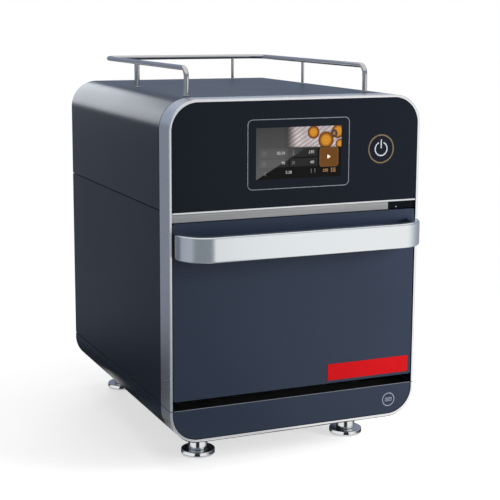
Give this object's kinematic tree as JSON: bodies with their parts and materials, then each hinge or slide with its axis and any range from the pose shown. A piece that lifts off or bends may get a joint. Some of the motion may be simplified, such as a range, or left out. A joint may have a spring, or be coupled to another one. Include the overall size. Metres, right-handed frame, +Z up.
{
  "type": "speed oven",
  "caption": "Countertop speed oven: upright rounded casing in a silver ring on round feet, touch glass above a drop-down door with a wide band handle, pull-off lower cover and a rail on top.",
  "frame": {"origin": "middle of the overall box's underside, on the surface that the four feet stand on", "axes": "+Z up, -Y out of the door towards the user, +X to the right as the user faces the door"},
  "size_m": [0.42, 0.583, 0.6157],
  "materials": {
    "paint": "dark anthracite blue satin powder coat",
    "satin_silver": "satin silver",
    "satin_aluminium": "satin anodised",
    "polished_steel": "polished",
    "brushed_steel": "brushed",
    "zinc_steel": "zinc plated",
    "black_glass": "gloss, back-printed black",
    "black_plastic": "moulded black",
    "circuit_board": "green solder mask",
    "insulation_wool": "mineral wool blanket",
    "silicone": "dark grey silicone",
    "heater_sheath": "heat-darkened sheath",
    "cast_aluminium": "cast",
    "ceramic": "porous ceramic",
    "filter_mesh": "wire mesh in a steel frame"
  },
  "bodies": {
    "casing": {"top_cover": "paint", "left_side_panel": "paint", "right_side_panel": "paint", "base_tray": "paint", "rear_panel": "paint", "front_frame": "satin_silver", "control_glass": "black_glass", "panel_trim": "polished_steel", "vent_strip": "brushed_steel", "sensor_window": "black_glass", "fascia_carrier": "zinc_steel", "display_module": "black_plastic", "control_board": "circuit_board", "power_switch": "black_plastic", "oven_cavity": "brushed_steel", "cavity_insulation": "insulation_wool", "upper_jet_plate": "brushed_steel", "fan_guard": "brushed_steel", "catalyst": "ceramic", "heating_coil": "heater_sheath", "fan_motor": "cast_aluminium", "waveguide": "zinc_steel", "magnetron": "zinc_steel", "stirrer_motor": "zinc_steel", "component_shelf": "zinc_steel", "power_inverter": "cast_aluminium", "mains_filter": "zinc_steel", "cooling_fan_housing": "black_plastic", "cable_gland": "black_plastic", "hinge_bracket_left": "zinc_steel", "hinge_bracket_right": "zinc_steel", "interlock_switch": "black_plastic", "port_socket": "black_plastic", "foot_sleeve_front_left": "polished_steel", "foot_sleeve_front_right": "polished_steel", "foot_sleeve_rear_left": "polished_steel", "foot_sleeve_rear_right": "polished_steel", "top_rail": "polished_steel"},
    "door": {"door_skin": "paint", "door_insulation": "insulation_wool", "door_inner_pan": "brushed_steel", "door_seal": "silicone", "door_handle": "satin_aluminium", "hinge_arm_left": "zinc_steel", "hinge_arm_right": "zinc_steel", "latch_hook_left": "zinc_steel", "latch_hook_right": "zinc_steel"},
    "lower_cover": {"lower_front_cover": "paint", "lower_frame": "satin_silver", "air_filter": "filter_mesh"},
    "power_key": {"power_button": "black_glass"},
    "oven_fan": {"convection_fan": "brushed_steel"},
    "stirrer": {"mode_stirrer": "brushed_steel"},
    "cooling_rotor": {"cooling_fan_rotor": "black_plastic"},
    "loose_plate": {"cooking_plate": "cast_aluminium"},
    "foot_front_left": {"foot_pad_front_left": "polished_steel"},
    "foot_front_right": {"foot_pad_front_right": "polished_steel"},
    "foot_rear_left": {"foot_pad_rear_left": "polished_steel"},
    "foot_rear_right": {"foot_pad_rear_right": "polished_steel"}
  },
  "joints": [
    {"name": "door_hinge", "type": "hinge", "parent": "casing", "child": "door", "pos_m": [0, -0.2275, 0.128], "axis": [1, 0, 0], "range_deg": [0, 90], "stiffness_Nm_per_rad": 2, "springref_deg": -28.65},
    {"name": "lower_cover_pull", "type": "slide", "parent": "casing", "child": "lower_cover", "axis": [0, -1, 0], "range_m": [0, 0.055]},
    {"name": "power_key_press", "type": "slide", "parent": "casing", "child": "power_key", "axis": [0, 1, 0], "range_m": [0, 0.0012], "stiffness_N_per_m": 1500, "springref_m": -0.0005},
    {"name": "oven_fan_spin", "type": "hinge", "parent": "casing", "child": "oven_fan", "pos_m": [0, 0.154, 0.24], "axis": [0, 1, 0], "continuous": true},
    {"name": "stirrer_spin", "type": "hinge", "parent": "casing", "child": "stirrer", "pos_m": [0, -0.0615, 0.3415], "axis": [0, 0, 1], "continuous": true},
    {"name": "cooling_rotor_spin", "type": "hinge", "parent": "casing", "child": "cooling_rotor", "pos_m": [0.1, 0.2417, 0.47], "axis": [0, 1, 0], "continuous": true},
    {"name": "cooking_plate_lift", "type": "slide", "parent": "casing", "child": "loose_plate", "axis": [0, 0, 1], "range_m": [0, 0.06]},
    {"name": "foot_front_left_level", "type": "slide", "parent": "casing", "child": "foot_front_left", "axis": [0, 0, -1], "range_m": [0, 0.012]},
    {"name": "foot_front_right_level", "type": "slide", "parent": "casing", "child": "foot_front_right", "axis": [0, 0, -1], "range_m": [0, 0.012]},
    {"name": "foot_rear_left_level", "type": "slide", "parent": "casing", "child": "foot_rear_left", "axis": [0, 0, -1], "range_m": [0, 0.012]},
    {"name": "foot_rear_right_level", "type": "slide", "parent": "casing", "child": "foot_rear_right", "axis": [0, 0, -1], "range_m": [0, 0.012]}
  ]
}
